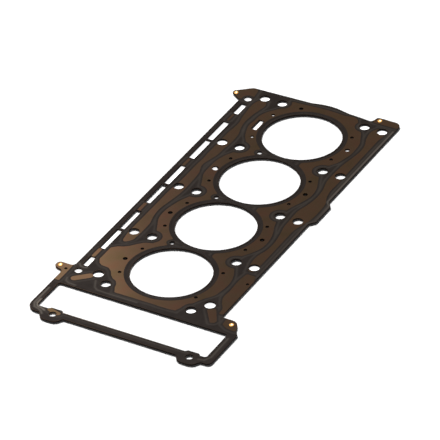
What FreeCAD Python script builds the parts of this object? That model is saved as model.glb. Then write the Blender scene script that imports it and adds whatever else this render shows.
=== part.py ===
import FreeCAD, Part
import math
import os
import Sketcher
from FreeCAD import Vector

# Cylinder head gasket for an in-line engine, lying flat as it would on the block deck.
# The pack of steel sheets is one die-cut plate, beaded round each bore, with an eyelet clinched in four tabs.
# X runs across the engine, Y along the row of bores with the timing case end at -Y, and Z up.
# The origin is the middle of the bore row, on the underside of the plate.

# Driving dimensions in millimetres. An offset runs across the engine from the line of the bores.
# A setback runs along the engine, outward from the centre of the nearer end bore.
SIZES = {
    "bore_pitch": 90.0,
    "bore_diameter": 83.5,
    "plate_thickness": 1.4,
    # The bead that seals each bore is pressed into the head side of the plate.
    "bead_depth": 0.3,
    "bead_width": 2.6,
    "bead_setback": 2.9,
    # Head bolts stand in two rows, at the webs between the bores and past the two end ones.
    "bolt_hole_diameter": 11.0,
    "bolt_row_offset": 48.5,
    "end_bolt_setback": 46.0,
    # Oil and coolant passages outside the bolt rows, and the dowel holes.
    "outer_hole_diameter": 11.0,
    "outer_row_offset": 69.0,
    "corner_passage_diameter": 11.5,
    "left_corner_passage_offset": 63.7,
    "left_corner_passage_setback": 34.5,
    "right_corner_passage_offset": 61.0,
    "right_corner_passage_setback": 30.0,
    "dowel_hole_diameter": 8.0,
    "dowel_row_offset": 84.3,
    "top_dowel_setback": 37.0,
    "bottom_dowel_setback": 38.7,
    # Small coolant holes: four metering holes to a bore, one at its side, and vents.
    "metering_hole_diameter": 3.8,
    "metering_hole_offset": 46.3,
    "metering_hole_rise": 22.5,
    "odd_metering_inset": 3.8,
    "odd_metering_drop": 3.0,
    "side_hole_diameter": 5.0,
    "side_hole_offset": 53.0,
    "large_side_hole_diameter": 7.0,
    "large_side_hole_offset": 51.5,
    "web_hole_diameter": 5.5,
    "web_hole_offset": 25.0,
    "end_vent_diameter": 4.5,
    "end_vent_offset": 26.0,
    "edge_vent_diameter": 3.2,
    "edge_vent_inset": 3.7,
    "edge_vent_rise": 17.0,
    "tab_vent_diameter": 3.4,
    "tab_vent_inset": 8.6,
    "tab_vent_drop": 3.6,
    # Slots down the left side stand in pairs, one either side of a narrow bridge beside each bolt row.
    "slot_column_offset": 83.0,
    "slot_width": 7.0,
    "slot_pair_length": 74.0,
    "slot_bridge": 3.0,
    "slot_pair_shift": 3.0,
    "top_slot_length": 19.0,
    "top_slot_setback": 16.5,
    "bottom_slot_length": 16.5,
    "bottom_slot_setback": 20.2,
    "inner_slot_offset": 51.7,
    "inner_slot_width": 6.5,
    "inner_slot_length": 18.0,
    "inner_slot_drop": 1.0,
    # Plan of the main plate.
    "left_edge": 92.0,
    "right_edge": 80.7,
    "top_edge_setback": 58.0,
    "edge_fillet": 3.0,
    "crown_half_width": 22.0,
    "crown_foot_rise": 2.2,
    "crown_peak_rise": 7.0,
    "crown_radius": 55.0,
    "crown_foot_radius": 20.0,
    "head_step_start": 53.0,
    "head_step_slope": 2.5,
    "head_step_height": 9.5,
    "head_corner_radius": 7.0,
    "shoulder_inset": 3.0,
    "shoulder_radius": 8.0,
    "edge_bump_start": 1.0,
    "edge_bump_length": 43.0,
    "edge_bump_slope": 6.0,
    "edge_bump_depth": 5.3,
    # Frame round the timing case opening, with a lobe for each of its two bolts.
    "frame_left_edge": 98.5,
    "frame_right_edge": 109.5,
    "frame_end_setback": 116.5,
    "frame_shoulder_setback": 61.5,
    "frame_left_radius": 11.0,
    "frame_right_radius": 5.0,
    "window_setback": 65.0,
    "window_left_bar": 7.5,
    "window_right_bar": 9.0,
    "window_end_bar": 9.0,
    "window_corner_radius": 3.0,
    "case_bolt_hole_diameter": 8.0,
    "case_bolt_inset": 2.5,
    "left_lobe_offset": 69.0,
    "right_lobe_offset": 85.5,
    "lobe_depth": 11.0,
    "lobe_foot_half_width": 13.5,
    "lobe_end_half_width": 8.5,
    "lobe_end_radius": 9.0,
    "lobe_pad_rise": 2.5,
    "lobe_pad_half_width": 6.0,
    # Eyelets, and the tabs that carry them.
    "eyelet_diameter": 3.2,
    "eyelet_flare_diameter": 5.2,
    "eyelet_flare_depth": 0.3,
    "eyelet_clearance": 0.05,
    "top_left_eyelet_offset": 101.5,
    "top_left_eyelet_setback": 42.4,
    "top_left_tab_reach": 6.5,
    "top_left_tab_root": 10.1,
    "top_right_eyelet_offset": 57.3,
    "top_right_eyelet_inset": 4.2,
    "bottom_left_eyelet_offset": 105.6,
    "bottom_left_eyelet_setback": 37.9,
    "bottom_left_tab_root": 7.6,
    "bottom_right_eyelet_offset": 96.0,
    "bottom_right_eyelet_setback": 49.0,
    "bottom_right_tab_rise": 6.5,
    "bottom_right_tab_reach": 3.5,
    "bottom_right_notch_reach": 9.0,
    "bottom_right_notch_drop": 7.0,
    "bottom_right_tab_radius": 9.0,
    "notch_radius": 2.0,
    "tab_margin": 4.4,
    "tab_tip_radius": 4.0,
    "tab_root_radius": 4.5,
}
BORE_COUNT = 4


class Length:
    """A length that holds its value and the spreadsheet expression that gives it."""

    def __init__(self, value, text):
        self.value = value
        self.text = text

    def __add__(self, other):
        return Length(self.value + value_of(other), f"({self.text} + {text_of(other)})")

    def __sub__(self, other):
        return Length(self.value - value_of(other), f"({self.text} - {text_of(other)})")

    def __mul__(self, factor):
        return Length(self.value * factor, f"({self.text} * {factor})")

    def __neg__(self):
        return Length(-self.value, f"(0 - {self.text})")


def value_of(length):
    return length.value if isinstance(length, Length) else length


def text_of(length):
    return length.text if isinstance(length, Length) else str(length)


doc = FreeCAD.newDocument("head_gasket")
sheet = doc.addObject("Spreadsheet::Sheet", "Sizes")
for row, (alias, number) in enumerate(SIZES.items(), start=1):
    sheet.set(f"A{row}", alias)
    sheet.set(f"B{row}", str(number))
    sheet.setAlias(f"B{row}", alias)
doc.recompute()
size = {alias: Length(number, f"Sizes.{alias}") for alias, number in SIZES.items()}


def row_at(index):
    """Y of the bore with this number, counted from the timing case end. A half is the web after it."""
    return size["bore_pitch"] * (index - (BORE_COUNT - 1) / 2)


BORE_ROWS = [row_at(index) for index in range(BORE_COUNT)]
WEB_ROWS = [row_at(index + 0.5) for index in range(BORE_COUNT - 1)]
FIRST_BORE = BORE_ROWS[0]
LAST_BORE = BORE_ROWS[-1]
FIRST_BOLT_ROW = FIRST_BORE - size["end_bolt_setback"]
LAST_BOLT_ROW = LAST_BORE + size["end_bolt_setback"]

TOP_EDGE = LAST_BORE + size["top_edge_setback"]
HEAD_STEP = TOP_EDGE + size["head_step_height"]
FRAME_END = FIRST_BORE - size["frame_end_setback"]
CASE_BOLT_ROW = FRAME_END + size["case_bolt_inset"]
WINDOW_END = FRAME_END + size["window_end_bar"]
LOBES = [-size["left_lobe_offset"], size["right_lobe_offset"]]

BEAD_RADIUS = size["bore_diameter"] * 0.5 + size["bead_setback"]
EYELET_HOLE = size["eyelet_diameter"] + size["eyelet_clearance"] * 2
FLARE_HOLE = size["eyelet_flare_diameter"] + size["eyelet_clearance"] * 2

EYELETS = {
    "top_left": (-size["top_left_eyelet_offset"], LAST_BORE + size["top_left_eyelet_setback"]),
    "top_right": (size["top_right_eyelet_offset"], HEAD_STEP - size["top_right_eyelet_inset"]),
    "bottom_left": (-size["bottom_left_eyelet_offset"], FIRST_BORE - size["bottom_left_eyelet_setback"]),
    "bottom_right": (size["bottom_right_eyelet_offset"], FIRST_BORE - size["bottom_right_eyelet_setback"]),
}


def origin_plane(body, role):
    return next(item for item in body.Origin.OriginFeatures if item.Role == role)


class Plan:
    """A sketch on a body's origin plane, drawn and dimensioned in one go."""

    def __init__(self, body, name, role="XY_Plane", height=None):
        self.sketch = body.newObject("Sketcher::SketchObject", name)
        self.sketch.AttachmentSupport = (origin_plane(body, role), [""])
        self.sketch.MapMode = "FlatFace"
        if height is not None:
            self.sketch.setExpression("AttachmentOffset.Base.z", height.text)
        self.geometry = []
        self.constraints = []
        self.expressions = []

    def drive(self, constraint, length):
        """Keep a dimension, and the expression that sets it where the spreadsheet does."""
        if isinstance(length, Length):
            self.expressions.append((len(self.constraints), length.text))
        self.constraints.append(constraint)

    def place(self, item, vertex, x, y):
        """Dimension one point of an item from the sketch's origin."""
        for kind, axis, length in (("DistanceX", -2, x), ("DistanceY", -1, y)):
            if length == 0:
                self.constraints.append(Sketcher.Constraint("PointOnObject", item, vertex, axis))
            else:
                self.drive(Sketcher.Constraint(kind, -1, 1, item, vertex, value_of(length)), length)

    def circle(self, x, y, diameter):
        centre = Vector(value_of(x), value_of(y), 0)
        item = len(self.geometry)
        self.geometry.append(Part.Circle(centre, Vector(0, 0, 1), value_of(diameter) / 2))
        self.place(item, 3, x, y)
        self.drive(Sketcher.Constraint("Diameter", item, value_of(diameter)), diameter)

    def polygon(self, corners):
        """A closed outline through sharp corners, each (x, y) or longer."""
        points = [Vector(value_of(corner[0]), value_of(corner[1]), 0) for corner in corners]
        first = len(self.geometry)
        for index, point in enumerate(points):
            following = (index + 1) % len(points)
            self.geometry.append(Part.LineSegment(point, points[following]))
            joint = Sketcher.Constraint("Coincident", first + index, 2, first + following, 1)
            self.constraints.append(joint)
            self.place(first + index, 1, corners[index][0], corners[index][1])

    def draw(self):
        """Put everything into the sketch and return it."""
        self.sketch.addGeometry(self.geometry)
        self.sketch.addConstraint(self.constraints)
        for index, text in self.expressions:
            self.sketch.renameConstraint(index, f"size{index}")
            self.sketch.setExpression(f"Constraints.size{index}", text)
        return self.sketch


def round_corners(body, name, corners):
    """Fillet the upright edges of a body that stand at corners given as (x, y, radius)."""
    radii = {radius.text: radius for x, y, radius in corners}
    for number, (text, radius) in enumerate(radii.items(), start=1):
        places = [(value_of(x), value_of(y)) for x, y, own in corners if own.text == text]
        doc.recompute()
        solid = body.Tip
        edges = []
        for index, edge in enumerate(solid.Shape.Edges, start=1):
            low, high = edge.BoundBox.ZMin, edge.BoundBox.ZMax
            corner = edge.Vertexes[0].Point
            if high - low > 0.1 and any(math.dist(corner[:2], place) < 0.001 for place in places):
                edges.append(f"Edge{index}")
        if len(edges) != len(places):
            raise RuntimeError(f"{name}: {len(edges)} edges found for {len(places)} corners")
        fillet = body.newObject("PartDesign::Fillet", f"{name}_{number}")
        fillet.Base = (solid, edges)
        fillet.setExpression("Radius", text)


def slot_corners(x, y, width, length):
    """The corners of a slot along Y, centred on a point."""
    left = x - width * 0.5
    right = x + width * 0.5
    bottom = y - length * 0.5
    top = y + length * 0.5
    return [(left, bottom), (right, bottom), (right, top), (left, top)]


def blank_corners():
    """Plan of the die-cut blank, counter-clockwise from the frame's bottom left corner."""
    fillet = size["edge_fillet"]
    left = -size["left_edge"]
    right = size["right_edge"]
    frame_left = -size["frame_left_edge"]
    frame_right = size["frame_right_edge"]
    corners = [(frame_left, FRAME_END, size["frame_left_radius"])]
    for centre in LOBES:
        lobe_end = CASE_BOLT_ROW - size["lobe_depth"]
        corners += [
            (centre - size["lobe_foot_half_width"], FRAME_END, fillet),
            (centre - size["lobe_end_half_width"], lobe_end, size["lobe_end_radius"]),
            (centre + size["lobe_end_half_width"], lobe_end, size["lobe_end_radius"]),
            (centre + size["lobe_foot_half_width"], FRAME_END, fillet),
        ]
    corners += [
        (frame_right, FRAME_END, size["frame_right_radius"]),
        (frame_right, FIRST_BORE - size["frame_shoulder_setback"], fillet),
    ]
    eyelet_x, eyelet_y = EYELETS["bottom_right"]
    notch_x = eyelet_x + size["bottom_right_notch_reach"]
    tab_top = eyelet_y + size["bottom_right_tab_rise"]
    corners += [
        (notch_x, eyelet_y - size["bottom_right_notch_drop"], size["notch_radius"]),
        (eyelet_x + size["bottom_right_tab_reach"], tab_top, size["bottom_right_tab_radius"]),
        (right, tab_top, size["tab_root_radius"]),
    ]
    bump_start = WEB_ROWS[1] + size["edge_bump_start"]
    bump_end = bump_start + size["edge_bump_length"]
    bump_edge = right + size["edge_bump_depth"]
    corners += [
        (right, bump_start, fillet),
        (bump_edge, bump_start + size["edge_bump_slope"], fillet),
        (bump_edge, bump_end - size["edge_bump_slope"], fillet),
        (right, bump_end, fillet),
    ]
    crown_foot = TOP_EDGE + size["crown_foot_rise"]
    corners += [
        (right, HEAD_STEP, size["head_corner_radius"]),
        (size["head_step_start"], HEAD_STEP, fillet),
        (size["head_step_start"] - size["head_step_slope"], TOP_EDGE, fillet),
        (size["crown_half_width"], crown_foot, size["crown_foot_radius"]),
        (0, TOP_EDGE + size["crown_peak_rise"], size["crown_radius"]),
        (-size["crown_half_width"], crown_foot, size["crown_foot_radius"]),
        (left + size["shoulder_inset"], TOP_EDGE, size["shoulder_radius"]),
    ]
    eyelet_x, eyelet_y = EYELETS["top_left"]
    corners += [
        (eyelet_x - size["top_left_tab_reach"], eyelet_y, size["tab_tip_radius"]),
        (left, eyelet_y - size["top_left_tab_root"], size["tab_root_radius"]),
    ]
    eyelet_x, eyelet_y = EYELETS["bottom_left"]
    tip = eyelet_x - size["tab_margin"]
    corners += [
        (left, eyelet_y + size["tab_margin"], size["tab_root_radius"]),
        (tip, eyelet_y + size["tab_margin"], size["tab_tip_radius"]),
        (tip, eyelet_y - size["tab_margin"], size["tab_tip_radius"]),
        (frame_left, eyelet_y - size["bottom_left_tab_root"], size["tab_root_radius"]),
    ]
    return corners


def window_outline():
    """Timing case opening, with a pad left on its far edge behind each lobe."""
    left = size["window_left_bar"] - size["frame_left_edge"]
    right = size["frame_right_edge"] - size["window_right_bar"]
    top = FIRST_BORE - size["window_setback"]
    pad_top = WINDOW_END + size["lobe_pad_rise"]
    half_width = size["lobe_pad_half_width"]
    foot = half_width + size["lobe_pad_rise"]
    pads = []
    for centre in LOBES:
        pads += [
            (centre - foot, WINDOW_END),
            (centre - half_width, pad_top),
            (centre + half_width, pad_top),
            (centre + foot, WINDOW_END),
        ]
    return [(left, WINDOW_END), *pads, (right, WINDOW_END), (right, top), (left, top)]


def passages():
    """The larger round holes, as (x, y, diameter): bores, bolts, passages, dowels, webs, eyelets."""
    holes = [(0, y, size["bore_diameter"]) for y in BORE_ROWS]
    for x in (-size["bolt_row_offset"], size["bolt_row_offset"]):
        for y in [FIRST_BOLT_ROW, *WEB_ROWS, LAST_BOLT_ROW]:
            holes.append((x, y, size["bolt_hole_diameter"]))
    for x in (-size["outer_row_offset"], size["outer_row_offset"]):
        for y in [*WEB_ROWS, LAST_BOLT_ROW]:
            holes.append((x, y, size["outer_hole_diameter"]))
    corner_diameter = size["corner_passage_diameter"]
    left_y = FIRST_BORE - size["left_corner_passage_setback"]
    right_y = FIRST_BORE - size["right_corner_passage_setback"]
    holes.append((-size["left_corner_passage_offset"], left_y, corner_diameter))
    holes.append((size["right_corner_passage_offset"], right_y, corner_diameter))
    for y in (FIRST_BORE - size["bottom_dowel_setback"], LAST_BORE + size["top_dowel_setback"]):
        holes.append((-size["dowel_row_offset"], y, size["dowel_hole_diameter"]))
    for x in LOBES:
        holes.append((x, CASE_BOLT_ROW, size["case_bolt_hole_diameter"]))
    holes.append((-size["large_side_hole_offset"], BORE_ROWS[2], size["large_side_hole_diameter"]))
    for y in WEB_ROWS:
        holes.append((-size["web_hole_offset"], y, size["web_hole_diameter"]))
    for x, y in EYELETS.values():
        holes.append((x, y, EYELET_HOLE))
    return holes


def metering_holes():
    """Small coolant holes round the bores, and vents, as (x, y, diameter)."""
    offset = size["metering_hole_offset"]
    rise = size["metering_hole_rise"]
    diameter = size["metering_hole_diameter"]
    side = size["side_hole_offset"]
    holes = []
    for y in BORE_ROWS:
        for x in (-offset, offset):
            holes.append((x, y + rise, diameter))
        holes.append((-offset, y - rise, diameter))
    for y in BORE_ROWS[1:]:
        holes.append((offset, y - rise, diameter))
        holes.append((side, y, size["side_hole_diameter"]))
    odd_y = FIRST_BORE - rise - size["odd_metering_drop"]
    holes.append((offset - size["odd_metering_inset"], odd_y, diameter))
    for y in BORE_ROWS[:2]:
        holes.append((-side, y, size["side_hole_diameter"]))
    holes.append((-size["end_vent_offset"], LAST_BOLT_ROW, size["end_vent_diameter"]))
    edge_vent_x = size["right_edge"] - size["edge_vent_inset"]
    holes.append((edge_vent_x, FIRST_BORE + size["edge_vent_rise"], size["edge_vent_diameter"]))
    eyelet_x, eyelet_y = EYELETS["bottom_left"]
    tab_vent_x = eyelet_x + size["tab_vent_inset"]
    holes.append((tab_vent_x, eyelet_y - size["tab_vent_drop"], size["tab_vent_diameter"]))
    return holes


def slots():
    """The column of slots down the left side, and the short one beside the last bore."""
    column = -size["slot_column_offset"]
    width = size["slot_width"]
    half_length = (size["slot_pair_length"] - size["slot_bridge"]) * 0.5
    half_shift = (half_length + size["slot_bridge"]) * 0.5
    outlines = []
    for y in WEB_ROWS:
        pair = y - size["slot_pair_shift"]
        outlines.append(slot_corners(column, pair - half_shift, width, half_length))
        outlines.append(slot_corners(column, pair + half_shift, width, half_length))
    top_y = LAST_BORE + size["top_slot_setback"]
    bottom_y = FIRST_BORE - size["bottom_slot_setback"]
    inner_y = LAST_BORE - size["inner_slot_drop"]
    outlines.append(slot_corners(column, top_y, width, size["top_slot_length"]))
    outlines.append(slot_corners(column, bottom_y, width, size["bottom_slot_length"]))
    inner_x = -size["inner_slot_offset"]
    outlines.append(slot_corners(inner_x, inner_y, size["inner_slot_width"], size["inner_slot_length"]))
    return outlines


def punch(body, name, plan):
    """Cut a plan that lies on the underside right through the plate."""
    pocket = body.newObject("PartDesign::Pocket", name)
    pocket.Profile = plan.draw()
    pocket.Type = "ThroughAll"
    pocket.Reversed = True


def make_plate():
    """The die-cut plate: blank, timing case window, slots, holes, eyelet seats and bore beads."""
    body = doc.addObject("PartDesign::Body", "gasket_plate")
    body.Label = "gasket_plate"
    outline = Plan(body, "blank_outline")
    outline.polygon(blank_corners())
    blank = body.newObject("PartDesign::Pad", "blank")
    blank.Profile = outline.draw()
    blank.setExpression("Length", size["plate_thickness"].text)
    round_corners(body, "blank_fillet", blank_corners())

    openings = Plan(body, "openings_plan")
    openings.polygon(window_outline())
    for corners in slots():
        openings.polygon(corners)
    punch(body, "openings", openings)
    window = window_outline()
    window_corners = [(x, y, size["window_corner_radius"]) for x, y in (window[0], *window[-3:])]
    round_corners(body, "window_fillet", window_corners)

    holes = Plan(body, "holes_plan")
    for x, y, diameter in passages() + metering_holes():
        holes.circle(x, y, diameter)
    punch(body, "holes", holes)
    make_eyelet_seats(body)
    make_bore_beads(body)
    return body


def make_eyelet_seats(body):
    """Countersinks in both faces of the plate, where the eyelets are flared flush."""
    sides = (("head_side", size["plate_thickness"], False), ("block_side", None, True))
    for name, height, from_below in sides:
        seats = Plan(body, f"{name}_seats_plan", height=height)
        for x, y in EYELETS.values():
            seats.circle(x, y, FLARE_HOLE)
        recess = body.newObject("PartDesign::Pocket", f"{name}_seats")
        recess.Profile = seats.draw()
        recess.Reversed = from_below
        recess.setExpression("Length", size["eyelet_flare_depth"].text)
        taper = f"-atan(({FLARE_HOLE.text} - {EYELET_HOLE.text}) / 2 / {size['eyelet_flare_depth'].text})"
        recess.setExpression("TaperAngle", taper)


def make_bore_beads(body):
    """A V-shaped bead turned round the first bore, then repeated along the row of bores."""
    half_width = size["bead_width"] * 0.5
    surface = size["plate_thickness"]
    section = Plan(body, "bead_section", role="XZ_Plane", height=-FIRST_BORE)
    section.polygon([
        (BEAD_RADIUS - half_width, surface),
        (BEAD_RADIUS, surface - size["bead_depth"]),
        (BEAD_RADIUS + half_width, surface),
    ])
    bead = body.newObject("PartDesign::Groove", "bore_bead")
    bead.Profile = section.draw()
    bead.ReferenceAxis = (bead.Profile[0], ["V_Axis"])
    bead.Angle = 360.0
    row = body.newObject("PartDesign::LinearPattern", "bore_beads")
    row.Originals = [bead]
    row.Direction = (next(item for item in body.Origin.OriginFeatures if item.Role == "Y_Axis"), [""])
    row.Occurrences = BORE_COUNT
    row.setExpression("Length", (LAST_BORE - FIRST_BORE).text)
    body.Tip = row


def make_eyelet(name, x, y):
    """One eyelet: a shank flared at both ends to lie flush with the plate."""
    body = doc.addObject("PartDesign::Body", f"eyelet_{name}")
    shank = size["eyelet_diameter"] * 0.5
    flare = size["eyelet_flare_diameter"] * 0.5
    depth = size["eyelet_flare_depth"]
    top = size["plate_thickness"]
    profile = Plan(body, f"eyelet_{name}_profile", role="XZ_Plane")
    profile.polygon([(0, 0), (flare, 0), (shank, depth), (shank, top - depth), (flare, top), (0, top)])
    turned = body.newObject("PartDesign::Revolution", f"eyelet_{name}_turned")
    turned.Profile = profile.draw()
    turned.ReferenceAxis = (turned.Profile[0], ["V_Axis"])
    turned.Angle = 360.0
    body.setExpression("Placement.Base.x", x.text)
    body.setExpression("Placement.Base.y", y.text)
    return body


plate = make_plate()
eyelets = doc.addObject("Part::Compound", "eyelets")
eyelets.Label = "eyelets"
eyelets.Links = [make_eyelet(name, x, y) for name, (x, y) in EYELETS.items()]
doc.recompute()

for item in doc.Objects:
    if "Invalid" in item.State or "Error" in item.State:
        raise RuntimeError(f"{item.Label} failed to recompute: {item.State}")
os.makedirs("parts", exist_ok=True)
for node in (plate, eyelets):
    if node.Shape.isNull() or not node.Shape.isValid():
        raise RuntimeError(f"{node.Label} has no valid shape")
for node in (plate, eyelets):
    node.Shape.exportStep(f"parts/{node.Label}.step")
    print(node.Label, f"{len(node.Shape.Solids)} solids, {node.Shape.Volume:.1f} mm3")
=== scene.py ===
"""Cylinder head gasket on a white table: coated steel plate, printed rubber tracks and brass eyelets."""

import math

import bmesh
import bpy
import numpy as np
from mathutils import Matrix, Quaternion, Vector


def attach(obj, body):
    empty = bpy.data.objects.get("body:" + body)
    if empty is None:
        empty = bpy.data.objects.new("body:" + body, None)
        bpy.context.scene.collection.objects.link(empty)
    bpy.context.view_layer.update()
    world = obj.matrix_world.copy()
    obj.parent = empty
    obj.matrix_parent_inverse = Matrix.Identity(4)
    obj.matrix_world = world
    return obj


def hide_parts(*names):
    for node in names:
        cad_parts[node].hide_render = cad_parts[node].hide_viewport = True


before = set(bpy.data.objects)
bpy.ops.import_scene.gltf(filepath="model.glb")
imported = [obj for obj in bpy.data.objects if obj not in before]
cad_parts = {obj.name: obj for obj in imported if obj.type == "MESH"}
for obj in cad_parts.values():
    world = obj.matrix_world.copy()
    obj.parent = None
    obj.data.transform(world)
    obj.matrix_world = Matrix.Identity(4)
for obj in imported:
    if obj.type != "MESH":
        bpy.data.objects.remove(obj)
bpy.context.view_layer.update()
scene = bpy.context.scene
MM = 0.001

# Sizes of the part in millimetres, as in its source. Heights count up from the block face.
THICKNESS = 1.4
PITCH = 90.0
BORES = [-1.5 * PITCH, -0.5 * PITCH, 0.5 * PITCH, 1.5 * PITCH]
WEBS = [-PITCH, 0.0, PITCH]
BORE_RADIUS = 41.75
BEAD_RADIUS = 44.65
BEAD_HALF = 1.3
BEAD_DEPTH = 0.3
BOLT_X = 48.5
BOLT_ENDS = [-181.0, 181.0]
DOWELS = [(-84.3, -173.7), (-84.3, 172.0)]
EYELETS = {
    "top_left": (-101.5, 177.4),
    "top_right": (57.3, 198.3),
    "bottom_left": (-105.6, -172.9),
    "bottom_right": (96.0, -184.0),
}

# An eyelet's head as (radius, depth under the face), from its dished middle over its lip to the barrel.
EYELET_HEAD = [
    (0.0, 0.45), (0.9, 0.42), (1.25, 0.30), (1.42, 0.12), (1.58, 0.02),
    (1.82, 0.0), (2.2, 0.03), (2.5, 0.14), (2.58, 0.22), (1.62, 0.42),
]
EYELET_STEPS = 48

# A rim stands at the middle sheet's height in round holes under this width, but for the open ones: the
# middle sheet's smaller hole, coloured near black as painted shade for the dark depth of these holes. Its
# smaller hole is a share of the outer one, and the rim bites a little into the plate.
SMALL_HOLE = 5.2
OPEN_HOLES = [(-46.3, 112.5), (-46.3, 157.5), (53.0, 135.0)]
RIM_SHARE = 0.4
RIM_BITE = 0.06
RIM_TOP = 0.85
RIM_FLOOR = 0.55
ROUND_STEPS = 32

# The print fills the last hundredths up to the faces of the plate and keeps in from every cut. Its bead
# lines rise above the rest of it, and its back lies hidden in the plate, this far from mid thickness.
PRINT_DEPTH = 0.03
PRINT_INSET = 0.15
BEAD_RISE = 0.015
PRINT_BACK = 0.2

# Printed rings round the bores, bolts and dowels, and a printed stroke across each web.
RING_EDGE = 47.4
BOLT_RING = 11.0
END_BOLT_RING = 10.2
DOWEL_RING = 6.6
WEB_STROKE = (-26.0, 17.0)
WEB_STROKE_HALF = 5.0

# Round a bore the mesh of the print has rows that follow the bead. Past the last row it is a square grid.
RING_PRINT = 46.3
RING_ROWS = [
    BORE_RADIUS + PRINT_INSET, 42.8, BEAD_RADIUS - BEAD_HALF, BEAD_RADIUS - BEAD_HALF / 2,
    BEAD_RADIUS, BEAD_RADIUS + BEAD_HALF / 2, BEAD_RADIUS + BEAD_HALF, RING_PRINT,
]
RING_STEPS = 200
RING_OVERLAP = 0.05
GRID = 1.0
GRID_X = (-111.0, 111.0)
GRID_Y = (-261.5, 204.0)

# Levels are distances in millimetres, positive inside a shape. This one is far outside every shape.
OUTSIDE = -50.0

# Bare coat left between the tracks on the head side, read off the photograph in millimetres. The block
# side, which it doesn't show, has the same print. The rings and strokes are printed over the fields.
# Upright fields are (y, left x, right x).
UPRIGHT_FIELDS = {
    "slot_side_strip": [
        (-110, -70, -68), (-108, -71.3, -66), (-103, -72.3, -62.5), (-98, -73, -62), (-80, -73.5, -61.5),
        (-70, -73.5, -62), (-60, -73.5, -64.5), (-45, -73.5, -66), (-30, -73.5, -64), (-10, -73.5, -61),
        (10, -72, -61), (30, -72, -62.5), (45, -72, -66.5), (55, -71.5, -64.5), (65, -72, -62),
        (80, -72, -61), (100, -72, -60), (110, -72, -61), (120, -71, -64), (130, -71, -66),
        (140, -73, -66), (150, -74, -65), (160, -75, -63), (170, -74, -62), (175, -72, -64),
    ],
    "slot_side_inner": [
        (-99, -44, -20), (-90, -46, -20), (-80, -49, -20), (-70, -53.5, -20), (-60, -58, -20),
        (-45, -59.5, -20), (-30, -57, -20), (-20, -54, -20), (-10, -49.5, -20), (0, -47, -20),
        (10, -49, -20), (20, -53, -20), (30, -57, -20), (45, -58, -20), (60, -57, -20), (70, -54, -20),
        (80, -49, -20), (90, -46, -20), (100, -47, -20), (110, -53, -20), (120, -57, -20),
        (130, -59.5, -20), (140, -58.5, -20), (150, -58, -20), (160, -54, -20), (168, -48, -20),
        (175, -44, -20), (188, -40, -20),
    ],
    "far_side_inner": [
        (-172, 42, 44), (-160, 40, 50), (-150, 40, 57), (-140, 40, 59.5), (-120, 40, 60), (-110, 40, 57),
        (-100, 30, 52), (-90, 20, 47.5), (-80, 20, 48), (-70, 20, 54), (-60, 20, 58.7), (-45, 20, 60),
        (-30, 20, 57), (-20, 20, 53), (-10, 20, 50), (0, 20, 48), (10, 20, 49.5), (20, 20, 52),
        (30, 20, 56), (45, 20, 59.7), (60, 20, 58), (70, 20, 54), (80, 20, 50), (90, 20, 47),
        (100, 20, 49), (110, 20, 55), (120, 20, 58), (130, 20, 60), (140, 20, 60), (150, 20, 59),
        (160, 20, 55), (170, 20, 50), (180, 20, 41), (188, 20, 36),
    ],
    "far_side_strip": [
        (-98, 66, 72), (-80, 62, 73), (-70, 62.5, 73), (-60, 65.3, 73), (-45, 66.3, 73), (-30, 64.5, 73),
        (-15, 61.5, 73.5), (-5, 61, 76), (5, 60.5, 79), (15, 60.5, 80), (30, 64, 80), (40, 65.6, 79),
        (50, 66, 75), (60, 65, 73), (75, 61.5, 73), (90, 61, 73), (110, 62, 73), (125, 64.5, 73),
        (140, 66, 73), (150, 65, 73), (163, 60.5, 73), (180, 60.5, 74), (184, 63, 73),
    ],
    "far_side_foot": [
        (-174, 76, 80), (-165, 75, 81), (-157, 70, 81), (-150, 67, 81), (-135, 67, 81), (-115, 66.5, 81),
        (-103, 68, 78),
    ],
}
# Fields that lie across the plate are (x, lower y, upper y).
CROSS_FIELDS = {
    "end_band": [
        (-40, 165, 188), (-20, 165, 190), (0, 165, 191), (20, 165, 190), (36, 165, 189), (42, 165, 180),
    ],
    "case_bar_rim": [(-62, -243, -239), (0, -242.9, -239), (60, -242.6, -239), (78, -242, -239)],
    "window_strip": [
        (-34, -189.5, -180), (-15, -189.5, -170), (0, -189.5, -170), (20, -189.5, -170), (36, -189, -178),
    ],
}
# Fields with corners are outlines of (x, y).
OUTLINED_FIELDS = {
    "wide_field": [
        (-75.5, -125), (-70, -120), (-65, -118), (-60, -114), (-55, -108), (-50, -103), (-45, -100.5),
        (-40, -99.5), (-34, -95), (-26, -96), (-30, -120), (-30, -150), (-20, -176), (-30, -189.5),
        (-34, -188), (-37, -183), (-39, -177), (-42, -172.5), (-47, -170), (-51, -166), (-55, -160),
        (-60, -156), (-68, -155.5), (-72, -153), (-75.5, -147),
    ],
    "far_foot_panel": [
        (62.5, -173.5), (66, -169.5), (70, -168.5), (80.5, -186), (79.5, -189.5), (75.5, -191),
    ],
    "far_corner": [
        (15, -189.5), (30, -189.5), (37, -185), (40, -176), (44, -168), (50, -160), (40, -150),
        (28, -162), (15, -175),
    ],
    "top_left_tab": [
        (-110, 168), (-92, 169), (-81, 168), (-80.5, 180), (-82, 190), (-88, 196), (-112, 190),
    ],
    "top_right_tab": [(53, 192.5), (79, 192.5), (82, 197), (82, 206), (50, 206), (50, 196)],
    "bottom_left_tab": [(-115, -165), (-93.5, -165), (-93, -180), (-93, -197), (-115, -197)],
    "bottom_right_tab": [(87, -178), (108, -178), (104, -193), (95, -192), (88, -188)],
}
# Straight fields with round ends are (x, y, x, y, radius).
ROUND_ENDED_FIELDS = {
    "long_pad": (-69.5, -176.5, -81.0, -187.0, 3.7),
    "land_1": (-83.5, -133.0, -83.5, -144.5, 2.0),
    "land_2": (-83.5, -43.0, -83.5, -54.5, 1.8),
    "land_3": (-83.5, 36.0, -83.5, 46.5, 1.6),
    "land_4": (-83.5, 128.0, -83.5, 139.0, 1.2),
    "frame_pad": (-75.0, -243.5, -64.5, -246.0, 2.6),
}
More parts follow.
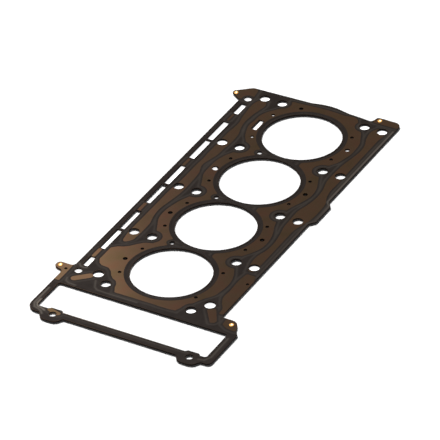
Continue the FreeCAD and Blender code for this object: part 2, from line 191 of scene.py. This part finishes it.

# Every track has a faint painted highlight along a bead line by its edge: how pale it is, how far in it
# lies and half its width.
TRACK_BEAD = 0.05
TRACK_BEAD_INSET = 2.9
TRACK_BEAD_HALF = 1.1
# Stronger painted highlights along other bead lines are (how pale, path of (x, y)).
PAINTED_BEAD_LINE_HIGHLIGHTS = {
    "over_frame": (0.13, [
        (-60, -181), (-57, -187), (-55, -191), (-51, -194), (-40, -194.5), (-5, -194.5),
    ]),
    "frame_corner": (0.28, [
        (-95, -212), (-95, -240), (-91.5, -246), (-86, -247.5), (-82, -249.5), (-79, -253),
    ]),
    "frame_corner_inner": (0.45, [(-92.3, -232), (-92.2, -239), (-89, -244), (-84, -245), (-79.5, -247)]),
    "window_corner": (0.16, [(-88, -189), (-86.5, -194), (-82, -196.5), (-74, -197)]),
    "under_end_slot": (0.2, [(-89, -163), (-86, -166.5), (-82, -167.2), (-79, -166)]),
    "far_frame_corner": (0.12, [(104.5, -206), (104.8, -240), (101, -247), (95, -248.5)]),
}
BEAD_LINE_HALF = 0.95
# Another painted highlight follows the cut along the far edge, past EDGE_BEAD_FROM in x, with its strength
# as (y, how pale).
EDGE_BEAD = [(-106.0, 0.06), (15.0, 0.10), (55.0, 0.22), (187.0, 0.22)]
EDGE_BEAD_INSET = 1.5
EDGE_BEAD_FROM = 76.5

# The photograph's camera: target and lens in millimetres, angles in degrees, distance in metres.
CAMERA_TARGET = (-2.3, -32.8, 0.7)
CAMERA_AZIMUTH = 30.57
CAMERA_ELEVATION = 34.83
CAMERA_ROLL = -2.0
CAMERA_DISTANCE = 4.951
CAMERA_LENS = 402.7

# Light gets under the real sheet where it stands off the table, so the table shows white through these
# openings. Each has a pale patch, moved away from the camera along VIEW_PLAN so that about as much white
# shows as in the photograph. Round ones are (x, y, radius, how far it moves), and slots, which all move
# by SLOT_BACK, are (x, y, half width, half length).
LIT_HOLES = [
    (-84.3, 172.0, 4.0, 2.2), (-84.3, -173.7, 4.0, 1.7), (-69.0, 90.0, 5.5, 0.8),
    (-69.0, 181.0, 5.5, 0.5), (69.0, -90.0, 5.5, 0.8), (69.0, 181.0, 5.5, 0.5),
    (-63.7, -169.5, 5.75, -0.6), (61.0, -165.0, 5.75, 1.4), (-48.5, 90.0, 5.5, -0.4),
    (-48.5, 181.0, 5.5, -0.7), (48.5, 181.0, 5.5, -0.2), (48.5, -181.0, 5.5, -1.1),
    (-25.0, 90.0, 2.75, 1.1), (-25.0, 0.0, 2.75, 0.1), (-25.0, -90.0, 2.75, -0.4),
    (-53.0, 45.0, 3.3, 2.2), (-46.3, 112.5, 1.9, 1.6), (-46.3, 157.5, 1.9, 1.6), (53.0, 135.0, 2.5, 1.0),
]
LIT_SLOTS = [
    (-83.0, -155.2, 2.2, 8.5), (-83.0, -112.2, 2.0, 18.0), (-83.0, 16.2, 2.3, 18.0),
    (-83.0, 67.8, 3.0, 18.0), (-83.0, 106.2, 3.1, 18.0), (-83.0, 151.5, 2.4, 9.8),
    (-51.7, 134.0, 1.7, 9.3),
]
SLOT_BACK = 2.2
VIEW_PLAN = (-math.sin(math.radians(CAMERA_AZIMUTH)), math.cos(math.radians(CAMERA_AZIMUTH)))
PATCH_LIFT = 0.02
TABLE_DROP = 1.5

# The table and the lights, in metres and watts. The table glows fully only from the further distance on.
TABLE_HALF = 20.0
GLOW_GROWS = (0.35, 1.5)
TABLE_GLOW = 0.015
PATCH_GLOW = 0.9
ROOM_LIGHT = 0.07
SOFT_BOX_SIZE = (1.3, 1.1)
SOFT_BOX_POWER = 198.0
SOFT_BOX_AT = (-1.45, 0.85, 3.65)

# Most values of a noise texture lie between these two.
NOISE_LOW, NOISE_HIGH = 0.3, 0.7


# Materials
def linear(r, g, b):
    """Linear colour from 8-bit sRGB values."""
    out = []
    for c in (r, g, b):
        c = c / 255.0
        out.append(c / 12.92 if c <= 0.04045 else ((c + 0.055) / 1.055) ** 2.4)
    return (*out, 1.0)


class Nodes:
    """Short hand for building one material's node tree."""

    def __init__(self, name, roughness, metallic=0.0, specular=0.5):
        self.mat = bpy.data.materials.new(name)
        self.mat.use_nodes = True
        self.tree = self.mat.node_tree
        self.out = self.tree.nodes["Material Output"]
        self.bsdf = self.tree.nodes["Principled BSDF"]
        self.bsdf.inputs["Roughness"].default_value = roughness
        self.bsdf.inputs["Metallic"].default_value = metallic
        self.bsdf.inputs["Specular IOR Level"].default_value = specular
        self.coords = self.add("ShaderNodeTexCoord")

    def add(self, kind, **values):
        """A new node, with values for its own settings or for its sockets."""
        node = self.tree.nodes.new(kind)
        for key, value in values.items():
            if hasattr(node, key):
                setattr(node, key, value)
            else:
                node.inputs[key].default_value = value
        return node

    def link(self, a, b):
        self.tree.links.new(a, b)

    def noise(self, scale, detail=4.0):
        node = self.add("ShaderNodeTexNoise", Scale=scale, Detail=detail, Roughness=0.55)
        self.link(self.coords.outputs["Object"], node.inputs["Vector"])
        return node.outputs["Fac"]

    def ramp(self, fac, stops):
        node = self.add("ShaderNodeValToRGB")
        ramp = node.color_ramp
        while len(ramp.elements) < len(stops):
            ramp.elements.new(0.5)
        for element, (at, colour) in zip(ramp.elements, stops):
            element.position = at
            element.color = colour
        self.link(fac, node.inputs["Fac"])
        return node.outputs["Color"]

    def two_tone(self, fac, dark, pale):
        """One colour in a noise's lows and another in its highs."""
        return self.ramp(fac, [(NOISE_LOW, dark), (NOISE_HIGH, pale)])

    def mix(self, fac, a, b, blend="MIX"):
        """Two colours mixed. Sockets 0, 6 and 7 are the factor and the colours, and 2 is the result."""
        node = self.add("ShaderNodeMix", data_type="RGBA", blend_type=blend)
        for socket, value in ((node.inputs[0], fac), (node.inputs[6], a), (node.inputs[7], b)):
            if isinstance(value, bpy.types.NodeSocket):
                self.link(value, socket)
            else:
                socket.default_value = value
        return node.outputs[2]

    def span(self, value, low, high, to_low=0.0, to_high=1.0):
        """The value moved from one range to another, and held inside it."""
        node = self.add("ShaderNodeMapRange")
        self.link(value, node.inputs["Value"])
        for key, number in (("From Min", low), ("From Max", high), ("To Min", to_low), ("To Max", to_high)):
            node.inputs[key].default_value = number
        return node.outputs["Result"]

    def along(self, direction, low, high):
        """A ramp from 0 to 1 along a direction, between two distances in metres."""
        dot = self.add("ShaderNodeVectorMath", operation="DOT_PRODUCT")
        self.link(self.coords.outputs["Object"], dot.inputs[0])
        dot.inputs[1].default_value = direction
        return self.span(dot.outputs["Value"], low, high)

    def colour(self, value):
        self.link(value, self.bsdf.inputs["Base Color"])

    def uneven_roughness(self, scale, low, high):
        spread = self.span(self.noise(scale), NOISE_LOW, NOISE_HIGH, low, high)
        self.link(spread, self.bsdf.inputs["Roughness"])

    def bump(self, height, strength, distance):
        node = self.add("ShaderNodeBump", Strength=strength, Distance=distance)
        self.link(height, node.inputs["Height"])
        self.link(node.outputs["Normal"], self.bsdf.inputs["Normal"])


def make_coat():
    """Brown elastomer coat: thin enough to let the steel warm it, cloudy, scuffed in fine specks, and paler
    towards the near left end, which is a painted sheen.
    """
    n = Nodes("brown_coat", roughness=0.34, specular=0.03)
    # Painted sheen: the coat goes from pale tan at the near left end to dark brown at the far right,
    # standing in for the lamp's reflection.
    far = n.along((0.85, 0.53, 0.0), -0.15, 0.10)
    base = n.ramp(far, [
        (0.0, linear(124, 99, 78)), (0.1, linear(108, 85, 66)), (0.22, linear(86, 66, 52)),
        (0.42, linear(70, 53, 41)), (0.6, linear(62, 47, 34)), (1.0, linear(61, 45, 31)),
    ])
    cloud = n.ramp(n.noise(48.0), [
        (NOISE_LOW, linear(232, 234, 208)), (0.5, linear(246, 240, 228)),
        (NOISE_HIGH, linear(255, 232, 222)),
    ])
    base = n.mix(1.0, base, cloud, "MULTIPLY")
    speck = n.span(n.noise(1400.0, detail=2.0), 0.62, 0.74, 0.0, 0.25)
    n.colour(n.mix(speck, base, linear(60, 46, 36)))
    n.uneven_roughness(90.0, 0.30, 0.40)
    n.bump(n.noise(2500.0, detail=3.0), strength=0.4, distance=0.00002)
    return n.mat


def make_edge():
    """The die-cut edge: coloured near black, which is painted shade for walls turned away from the lamp,
    with the streaks of the punch.
    """
    n = Nodes("cut_edge", roughness=0.7, specular=0.02)
    stretch = n.add("ShaderNodeMapping", Scale=(900.0, 900.0, 60.0))
    n.link(n.coords.outputs["Object"], stretch.inputs["Vector"])
    streak = n.add("ShaderNodeTexNoise", Scale=1.0)
    n.link(stretch.outputs["Vector"], streak.inputs["Vector"])
    # Painted shade: the cut walls are coloured near black, as dark as they stand in shade.
    n.colour(n.two_tone(streak.outputs["Fac"], linear(16, 11, 12), linear(34, 26, 25)))
    n.bump(streak.outputs["Fac"], strength=0.3, distance=0.00003)
    return n.mat


def make_middle_sheet_shade():
    """The middle sheet in the small holes, coloured near black as painted shade for their dark depth, with
    a faint burnish.
    """
    n = Nodes("middle_sheet_shade", roughness=0.7, specular=0.0)
    # Painted shade: near black, darker than steel, for the shade deep in the small holes.
    n.colour(n.two_tone(n.noise(1800.0), linear(3, 2, 2), linear(9, 7, 7)))
    return n.mat


def make_rubber():
    """Printed rubber: dark grey brown and satin, with painted highlights along the bead lines that its mesh
    carries.
    """
    n = Nodes("track_rubber", roughness=0.34, specular=0.03)
    # Painted sheen: the print is paler towards the near left end, standing in for the lamp's reflection.
    far = n.along((0.55, 0.83, 0.0), -0.20, 0.13)
    base = n.ramp(far, [(0.0, linear(48, 42, 39)), (0.4, linear(38, 32, 29)), (1.0, linear(35, 29, 25))])
    cloud = n.two_tone(n.noise(70.0), linear(215, 210, 208), linear(255, 252, 250))
    base = n.mix(1.0, base, cloud, "MULTIPLY")
    # Painted highlights: the print goes pale grey along the bead lines, by an attribute that the track
    # meshes carry.
    painted_highlight = n.add("ShaderNodeAttribute", attribute_name="painted_highlight")
    n.colour(n.mix(n.span(painted_highlight.outputs["Fac"], 0.0, 1.0, 0.0, 0.9), base, linear(172, 162, 150)))
    n.uneven_roughness(120.0, 0.30, 0.40)
    n.bump(n.noise(3200.0, detail=3.0), strength=0.3, distance=0.00002)
    return n.mat


def make_brass():
    """Bright brass: gold on the rolled lips, with a painted glint, pale yellow, in their dished middles,
    and a little tarnish.
    """
    n = Nodes("rolled_brass", roughness=0.42, metallic=1.0)
    height = n.along((0.0, 0.0, 1.0), 0.0, THICKNESS * MM)
    gold, painted_glint = linear(196, 150, 84), linear(255, 240, 204)
    # Painted highlight: the middle heights, where the dishes lie, are coloured as a pale glint.
    tone = n.ramp(height, [
        (0.0, gold), (0.12, gold), (0.26, painted_glint), (0.74, painted_glint), (0.88, gold), (1.0, gold),
    ])
    tarnish = n.two_tone(n.noise(700.0), linear(214, 204, 190), linear(255, 250, 240))
    n.colour(n.mix(1.0, tone, tarnish, "MULTIPLY"))
    n.uneven_roughness(1200.0, 0.38, 0.48)
    n.bump(n.noise(4000.0, detail=2.0), strength=0.1, distance=0.00002)
    return n.mat


COAT = make_coat()
EDGE = make_edge()
MIDDLE_SHADE = make_middle_sheet_shade()
RUBBER = make_rubber()
BRASS = make_brass()


# Building meshes
def new_object(name, mesh):
    obj = bpy.data.objects.new(name, mesh)
    scene.collection.objects.link(obj)
    return obj


def mesh_object(bm, name, *materials):
    """An object for the mesh that was built, with its materials in order."""
    mesh = bpy.data.meshes.new(name)
    bm.to_mesh(mesh)
    bm.free()
    for material in materials:
        mesh.materials.append(material)
    return new_object(name, mesh)


def circle(radius, steps):
    """Points evenly round the origin."""
    turns = [2 * math.pi * k / steps for k in range(steps)]
    return [(radius * math.cos(turn), radius * math.sin(turn)) for turn in turns]


def add_outline(bm, x, y, z, outline):
    """New vertices for an outline about (x, y), at height z."""
    return [bm.verts.new(((x + dx) * MM, (y + dy) * MM, z * MM)) for dx, dy in outline]


def join_rows(bm, first, second):
    """Faces between two rows of vertices that both go once round. A row may be one vertex, repeated."""
    steps = len(first)
    for k in range(steps):
        after = (k + 1) % steps
        ring = [first[k], second[k], second[after], first[after]]
        bm.faces.new(list(dict.fromkeys(ring)))


# The plate
def dress_plate(node):
    """The CAD plate, thinned by the print on each face, with a coat, cut edges coloured near black as
    painted shade, and dark bead rings.
    """
    mesh = node.data.copy()
    mesh.name = "coated_plate"
    mesh.materials.clear()
    for material in (COAT, EDGE, RUBBER):
        mesh.materials.append(material)
    coat, edge, rubber = range(3)
    middle = THICKNESS * MM / 2
    keep = (THICKNESS / 2 - PRINT_DEPTH) / (THICKNESS / 2)
    for vertex in mesh.vertices:
        vertex.co.z = middle + (vertex.co.z - middle) * keep
    for face in mesh.polygons:
        flat = abs(face.normal.z) > 0.5
        at = face.center / MM
        ring = any(math.hypot(at.x, at.y - bore) < BEAD_RADIUS + BEAD_HALF for bore in BORES)
        in_groove = 0.1 < at.z < THICKNESS - 0.1
        print_shows = ring and in_groove
        face.material_index = edge if not flat else rubber if print_shows else coat
    mesh.update()
    obj = new_object("coated_plate", mesh)
    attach(obj, "root")
    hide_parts("gasket_plate")
    return obj


def plate_segments(mesh, top):
    """The straight pieces of the plate's outline and holes, where its face meets its walls."""
    level = max(v.co.z for v in mesh.vertices) if top else min(v.co.z for v in mesh.vertices)
    spot = [
        (round(v.co.x / MM, 4), round(v.co.y / MM, 4), abs(v.co.z - level) < 1e-6) for v in mesh.vertices
    ]
    sides = {}
    for face in mesh.polygons:
        for a, b in face.edge_keys:
            if spot[a][2] and spot[b][2]:
                sides.setdefault(tuple(sorted((spot[a], spot[b]))), []).append(abs(face.normal.z) > 0.5)
    return [(*a[:2], *b[:2]) for (a, b), kinds in sides.items() if sorted(kinds) == [False, True]]


# Painted shade in the small holes, at the middle sheet's height
def small_holes(mesh):
    """Centre and radius of each small round hole that gets a rim of painted shade, from the upper face."""
    links = {}
    for x0, y0, x1, y1 in plate_segments(mesh, top=True):
        links.setdefault((x0, y0), []).append((x1, y1))
        links.setdefault((x1, y1), []).append((x0, y0))
    found, seen = [], set()
    for start in sorted(links):
        if start in seen:
            continue
        loop, queue = [], [start]
        while queue:
            spot = queue.pop()
            if spot not in seen:
                seen.add(spot)
                loop.append(spot)
                queue += links[spot]
        xs, ys = zip(*loop)
        width, length = max(xs) - min(xs), max(ys) - min(ys)
        if width < SMALL_HOLE and abs(width - length) < 0.1:
            found.append(((max(xs) + min(xs)) / 2, (max(ys) + min(ys)) / 2, width / 2))
    left_out = list(EYELETS.values()) + OPEN_HOLES
    return [hole for hole in found if all(math.dist(hole[:2], at) > 1.0 for at in left_out)]


def make_middle_sheet_shade_rims(plate_mesh):
    """A rim at the middle sheet's height, with a smaller hole, inside each small coolant hole, coloured
    near black as painted shade.
    """
    bm = bmesh.new()
    for x, y, radius in small_holes(plate_mesh):
        inner, outer = radius * RIM_SHARE, radius + RIM_BITE
        section = [(inner, RIM_TOP), (outer, RIM_TOP), (outer, RIM_FLOOR), (inner, RIM_FLOOR)]
        rows = [add_outline(bm, x, y, z, circle(r, ROUND_STEPS)) for r, z in section]
        for row, next_row in zip(rows, rows[1:] + rows[:1]):
            join_rows(bm, row, next_row)
    bmesh.ops.recalc_face_normals(bm, faces=bm.faces)
    obj = mesh_object(bm, "middle_sheet_shade_rims", MIDDLE_SHADE)
    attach(obj, "root")


# The eyelets
def make_eyelets():
    """Each eyelet is a brass barrel rolled over at both ends into its countersink, dished in the middle."""
    profile = [(r, THICKNESS - depth) for r, depth in EYELET_HEAD] + EYELET_HEAD[::-1]
    bm = bmesh.new()
    for x, y in EYELETS.values():
        rows = []
        for r, z in profile:
            if r == 0.0:
                rows.append(add_outline(bm, x, y, z, [(0.0, 0.0)]) * EYELET_STEPS)
            else:
                rows.append(add_outline(bm, x, y, z, circle(r, EYELET_STEPS)))
        for upper, lower in zip(rows, rows[1:]):
            join_rows(bm, upper, lower)
    for face in bm.faces:
        face.smooth = True
    obj = mesh_object(bm, "rolled_eyelets", BRASS)
    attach(obj, "root")
    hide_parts("eyelets")


# The printed tracks
def smooth_max(a, b, rounding):
    """The larger of two levels, with the corner where they meet rounded."""
    mix = np.clip(0.5 + 0.5 * (a - b) / rounding, 0.0, 1.0)
    return b + (a - b) * mix + rounding * mix * (1.0 - mix)


def smooth_min(a, b, rounding):
    return -smooth_max(-a, -b, rounding)


def curve_through(stations, values, at):
    """A smooth curve through the values at the stations, evaluated at other places."""
    s = np.array(stations, float)
    v = np.array(values, float)
    slope = np.gradient(v, s)
    i = np.clip(np.searchsorted(s, at) - 1, 0, len(s) - 2)
    h = s[i + 1] - s[i]
    u = np.clip((at - s[i]) / h, 0.0, 1.0)
    a = v[i] * (2 * u**3 - 3 * u**2 + 1) + v[i + 1] * (3 * u**2 - 2 * u**3)
    return a + h * (slope[i] * (u**3 - 2 * u**2 + u) + slope[i + 1] * (u**3 - u**2))


def between(u, v, rows):
    """Level inside a field bounded by two curves: u along the field, v across it."""
    stations, lows, highs = zip(*rows)
    sides = np.minimum(v - curve_through(stations, lows, u), curve_through(stations, highs, u) - v)
    ends = np.minimum(u - stations[0], stations[-1] - u)
    return smooth_min(sides, ends, rounding=2.0)


def segment_distance(x, y, x0, y0, x1, y1):
    """Distance from each (x, y) to a straight piece."""
    dx, dy = x1 - x0, y1 - y0
    u = np.clip(((x - x0) * dx + (y - y0) * dy) / (dx * dx + dy * dy), 0.0, 1.0)
    return np.hypot(x - x0 - u * dx, y - y0 - u * dy)


def outline_level(x, y, segments, reach):
    """Distance to a set of closed loops, positive inside, and exact only within reach."""
    far = np.full(x.shape, reach)
    xs, ys = x[0], y[:, 0]
    for x0, y0, x1, y1 in segments:
        i0, i1 = np.searchsorted(xs, (min(x0, x1) - reach, max(x0, x1) + reach))
        j0, j1 = np.searchsorted(ys, (min(y0, y1) - reach, max(y0, y1) + reach))
        if i0 == i1 or j0 == j1:
            continue
        part = (slice(j0, j1), slice(i0, i1))
        far[part] = np.minimum(far[part], segment_distance(x[part], y[part], x0, y0, x1, y1))
    inside = np.zeros(x.shape, bool)
    for row, line in enumerate(ys):
        crossings = [
            x0 + (line - y0) * (x1 - x0) / (y1 - y0)
            for x0, y0, x1, y1 in segments
            if (y0 > line) != (y1 > line)
        ]
        inside[row] = np.searchsorted(np.sort(crossings), xs) % 2 == 1
    return np.where(inside, far, -far)


def polygon_segments(points):
    return [(*points[i - 1], *points[i]) for i in range(len(points))]


def bare_level(x, y):
    """Positive where the coat is left bare between the tracks."""
    level = np.full(x.shape, OUTSIDE)
    for rows in UPRIGHT_FIELDS.values():
        level = smooth_max(level, between(y, x, rows), rounding=2.0)
    for rows in CROSS_FIELDS.values():
        level = smooth_max(level, between(x, y, rows), rounding=2.0)
    for points in OUTLINED_FIELDS.values():
        outlined = outline_level(x, y, polygon_segments(points), reach=12.0)
        level = smooth_max(level, outlined, rounding=1.5)
    for x0, y0, x1, y1, radius in ROUND_ENDED_FIELDS.values():
        level = np.maximum(level, radius - segment_distance(x, y, x0, y0, x1, y1))
    return level


def printed_level(x, y):
    """Positive where rubber is printed: all that isn't bare, the rings and the strokes."""
    rings = np.full(x.shape, OUTSIDE)
    for bore in BORES:
        rings = smooth_max(rings, RING_EDGE - np.hypot(x, y - bore), rounding=4.0)
    for web in WEBS:
        stroke = WEB_STROKE_HALF - segment_distance(x, y, WEB_STROKE[0], web, WEB_STROKE[1], web)
        rings = smooth_max(rings, stroke, rounding=3.0)
    small = [(side, web, BOLT_RING) for side in (-BOLT_X, BOLT_X) for web in WEBS]
    small += [(side, end, END_BOLT_RING) for side in (-BOLT_X, BOLT_X) for end in BOLT_ENDS]
    small += [(*dowel, DOWEL_RING) for dowel in DOWELS]
    bolts = np.full(x.shape, OUTSIDE)
    for at_x, at_y, radius in small:
        bolts = np.maximum(bolts, radius - np.hypot(x - at_x, y - at_y))
    return smooth_max(-bare_level(x, y), smooth_max(rings, bolts, rounding=1.5), rounding=1.0)


def sampled(level, xs, ys, points):
    """The level at loose points, straight between the grid's own."""
    u = (points[:, 0] - xs[0]) / GRID
    v = (points[:, 1] - ys[0]) / GRID
    i = np.clip(u.astype(int), 0, len(xs) - 2)
    j = np.clip(v.astype(int), 0, len(ys) - 2)
    u, v = u - i, v - j
    near = level[j, i] * (1 - u) + level[j, i + 1] * u
    far = level[j + 1, i] * (1 - u) + level[j + 1, i + 1] * u
    return near * (1 - v) + far * v


def march(level, x, y):
    """Faces of the region where the level is positive, cut straight through each grid cell."""
    least_share = 0.02
    points, index, faces = [], {}, []

    def corner(j, i):
        key = (j, i)
        if key not in index:
            index[key] = len(points)
            points.append((x[j, i], y[j, i]))
        return index[key]

    def cut(a, b):
        key = (min(a, b), max(a, b))
        if key not in index:
            a, b = key
            share = min(max(level[a] / (level[a] - level[b]), least_share), 1.0 - least_share)
            index[key] = len(points)
            points.append((x[a] + (x[b] - x[a]) * share, y[a] + (y[b] - y[a]) * share))
        return index[key]

    inside = level > 0
    some = inside[:-1, :-1] | inside[1:, :-1] | inside[:-1, 1:] | inside[1:, 1:]
    for j, i in np.argwhere(some).tolist():
        ring = [(j, i), (j, i + 1), (j + 1, i + 1), (j + 1, i)]
        face = []
        for a, b in zip(ring, ring[1:] + ring[:1]):
            if inside[a]:
                face.append(corner(*a))
            if inside[a] != inside[b]:
                face.append(cut(a, b))
        if len(face) >= 3:
            faces.append(face)
    return points, faces


def bell(offset, half):
    """1 on a line, falling off to little at twice this half width."""
    return np.exp(-(offset / half) ** 2)


def painted_bead_highlights(points, in_print, in_plate):
    """How strong the painted highlight is at each point of the print, along its bead lines, from how far in
    it lies from the print's edge and the cut.
    """
    px, py = points.T
    painted_highlight = TRACK_BEAD * bell(in_print - TRACK_BEAD_INSET, TRACK_BEAD_HALF)
    for pale, path in PAINTED_BEAD_LINE_HIGHLIGHTS.values():
        for start, end in zip(path, path[1:]):
            off = segment_distance(px, py, *start, *end)
            painted_highlight = np.maximum(painted_highlight, pale * bell(off, BEAD_LINE_HALF))
    places, pale_there = zip(*EDGE_BEAD)
    edge = np.interp(py, places, pale_there, left=0.0, right=0.0)
    edge = edge * bell(in_plate - EDGE_BEAD_INSET, BEAD_LINE_HALF)
    return np.maximum(painted_highlight, np.where(px > EDGE_BEAD_FROM, edge, 0.0))


def ring_sheet(bore, top):
    """The print over one bore's bead, in rows that follow the bead, trimmed halfway to the next bore."""
    low = bore - PITCH / 2 if bore > BORES[0] else -math.inf
    high = bore + PITCH / 2 if bore < BORES[-1] else math.inf
    points, surface = [], []
    for radius in RING_ROWS:
        for dx, dy in circle(radius, RING_STEPS):
            y = min(max(bore + dy, low), high)
            off_bead = abs(math.hypot(dx, y - bore) - BEAD_RADIUS)
            dip = max(0.0, 1.0 - off_bead / BEAD_HALF) * BEAD_DEPTH
            points.append((dx, y))
            surface.append(THICKNESS - dip if top else 0.0)
    faces = []
    for row in range(len(RING_ROWS) - 1):
        for k in range(RING_STEPS):
            a, b = row * RING_STEPS + k, row * RING_STEPS + (k + 1) % RING_STEPS
            faces.append([a, a + RING_STEPS, b + RING_STEPS, b])
    return points, faces, surface, [0.0] * len(points)


def add_sheet(bm, points, faces, surface, painted_highlight, back, up):
    """Adds a thin closed solid: its surface, the same faces at the height of its back, and a wall."""
    layer = bm.verts.layers.float["painted_highlight"]
    front = [bm.verts.new((x * MM, y * MM, z * MM)) for (x, y), z in zip(points, surface)]
    for vert, value in zip(front, painted_highlight):
        vert[layer] = value
    for face in faces:
        bm.faces.new([front[i] for i in (face if up else face[::-1])]).smooth = True
    rim = [edge for edge in bm.edges if len(edge.link_faces) == 1]
    for edge in rim:
        edge.smooth = False
    rim_loops = [edge.link_loops[0] for edge in rim]
    behind = {vert: bm.verts.new((x * MM, y * MM, back * MM)) for vert, (x, y) in zip(front, points)}
    for face in faces:
        bm.faces.new([behind[front[i]] for i in (face[::-1] if up else face)])
    for loop in rim_loops:
        a, b = loop.vert, loop.link_loop_next.vert
        bm.faces.new([b, a, behind[a], behind[b]])


def make_tracks(name, plate_mesh, top):
    """The print on one face: a grid mesh over the plate and a ring sheet over each bead."""
    xs = np.arange(GRID_X[0], GRID_X[1] + GRID, GRID)
    ys = np.arange(GRID_Y[0], GRID_Y[1] + GRID, GRID)
    x, y = np.meshgrid(xs, ys)
    printed = printed_level(x, y)
    in_plate = outline_level(x, y, plate_segments(plate_mesh, top), reach=6.0)
    past_rings = np.min([np.hypot(x, y - bore) for bore in BORES], axis=0) - RING_PRINT + RING_OVERLAP
    level = np.minimum(np.minimum(printed, in_plate - PRINT_INSET), past_rings)
    points, faces = march(level, x, y)
    spots = np.array(points)
    # Painted highlights along the bead lines, as an attribute of each vertex; the print stands a little
    # higher along them.
    painted_highlight = painted_bead_highlights(spots, sampled(printed, xs, ys, spots), sampled(in_plate, xs, ys, spots))
    sunk = BEAD_RISE * (1.0 - np.clip(painted_highlight / TRACK_BEAD, 0.0, 1.0))
    surface = THICKNESS - sunk if top else sunk
    back = THICKNESS / 2 + (PRINT_BACK if top else -PRINT_BACK)
    bm = bmesh.new()
    bm.verts.layers.float.new("painted_highlight")
    add_sheet(bm, points, faces, surface, painted_highlight, back, top)
    for bore in BORES:
        add_sheet(bm, *ring_sheet(bore, top), back, top)
    obj = mesh_object(bm, name, RUBBER)
    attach(obj, "root")


# Table, light and camera
def seen_directly(tree):
    """1 for camera, glossy and transmission rays, which see the backdrop, and 0 for all other rays."""
    path = tree.nodes.new("ShaderNodeLightPath")
    value = path.outputs["Is Camera Ray"]
    for name in ("Is Glossy Ray", "Is Transmission Ray"):
        node = tree.nodes.new("ShaderNodeMath")
        node.operation = "MAXIMUM"
        tree.links.new(value, node.inputs[0])
        tree.links.new(path.outputs[name], node.inputs[1])
        value = node.outputs["Value"]
    return value


def table_white(name, near_glow):
    """White that shows as white to the camera and to polished metal, though it glows fully only far off."""
    n = Nodes(name, roughness=0.35)
    n.bsdf.inputs["Base Color"].default_value = linear(254, 254, 254)
    away = n.add("ShaderNodeVectorMath", operation="LENGTH")
    n.link(n.coords.outputs["Object"], away.inputs[0])
    strength = n.span(away.outputs["Value"], *GLOW_GROWS, near_glow, 1.0)
    lit = n.add("ShaderNodeMath", operation="MULTIPLY")
    n.link(seen_directly(n.tree), lit.inputs[0])
    n.link(strength, lit.inputs[1])
    glow = n.add("ShaderNodeEmission")
    n.link(lit.outputs["Value"], glow.inputs["Strength"])
    both = n.add("ShaderNodeAddShader")
    n.link(n.bsdf.outputs["BSDF"], both.inputs[0])
    n.link(glow.outputs["Emission"], both.inputs[1])
    n.link(both.outputs["Shader"], n.out.inputs["Surface"])
    return n.mat


def make_table():
    """A white table just under the part, with a pale patch for each opening that shows white."""
    bm = bmesh.new()
    bmesh.ops.create_grid(bm, x_segments=8, y_segments=8, size=TABLE_HALF)
    patches = [(x, y, back, circle(radius, ROUND_STEPS)) for x, y, radius, back in LIT_HOLES]
    for x, y, wide, long in LIT_SLOTS:
        patches.append((x, y, SLOT_BACK, [(-wide, -long), (wide, -long), (wide, long), (-wide, long)]))
    for x, y, back, outline in patches:
        x, y = x + back * VIEW_PLAN[0], y + back * VIEW_PLAN[1]
        bm.faces.new(add_outline(bm, x, y, PATCH_LIFT, outline)).material_index = 1
    whites = (table_white("white_table", TABLE_GLOW), table_white("lit_table", PATCH_GLOW))
    table = mesh_object(bm, "table_top", *whites)
    table.location.z = -TABLE_DROP * MM


def make_light():
    """A white room and one broad soft box above the far side."""
    world = bpy.data.worlds.new("studio")
    scene.world = world
    world.use_nodes = True
    tree = world.node_tree
    room = tree.nodes["Background"]
    room.inputs["Color"].default_value = (1.0, 1.0, 1.0, 1.0)
    strength = tree.nodes.new("ShaderNodeMapRange")
    strength.inputs["To Min"].default_value = ROOM_LIGHT
    strength.inputs["To Max"].default_value = 1.0
    tree.links.new(seen_directly(tree), strength.inputs["Value"])
    tree.links.new(strength.outputs["Result"], room.inputs["Strength"])
    box = bpy.data.lights.new("soft_box", "AREA")
    box.shape = "RECTANGLE"
    box.size, box.size_y = SOFT_BOX_SIZE
    box.energy = SOFT_BOX_POWER
    obj = new_object("soft_box", box)
    obj.location = SOFT_BOX_AT
    obj.rotation_euler = (-obj.location).to_track_quat("-Z", "Y").to_euler()


def make_camera():
    """The photograph's long view from above the near right corner, turned a little clockwise."""
    azimuth, elevation = math.radians(CAMERA_AZIMUTH), math.radians(CAMERA_ELEVATION)
    roll = Quaternion((0.0, 0.0, 1.0), math.radians(CAMERA_ROLL))
    camera = bpy.data.cameras.new("camera")
    camera.lens = CAMERA_LENS
    camera.sensor_width = 36.0
    camera.clip_end = 50.0
    obj = new_object("camera", camera)
    away = Vector((
        math.sin(azimuth) * math.cos(elevation),
        -math.cos(azimuth) * math.cos(elevation),
        math.sin(elevation),
    ))
    obj.location = Vector(CAMERA_TARGET) * MM + away * CAMERA_DISTANCE
    obj.rotation_mode = "QUATERNION"
    obj.rotation_quaternion = (-away).to_track_quat("-Z", "Y") @ roll
    scene.camera = obj


plate = dress_plate(bpy.data.objects["gasket_plate"])
make_middle_sheet_shade_rims(plate.data)
make_tracks("head_side_tracks", plate.data, top=True)
make_tracks("block_side_tracks", plate.data, top=False)
make_eyelets()
make_table()
make_light()
make_camera()
scene.view_settings.view_transform = "Standard"
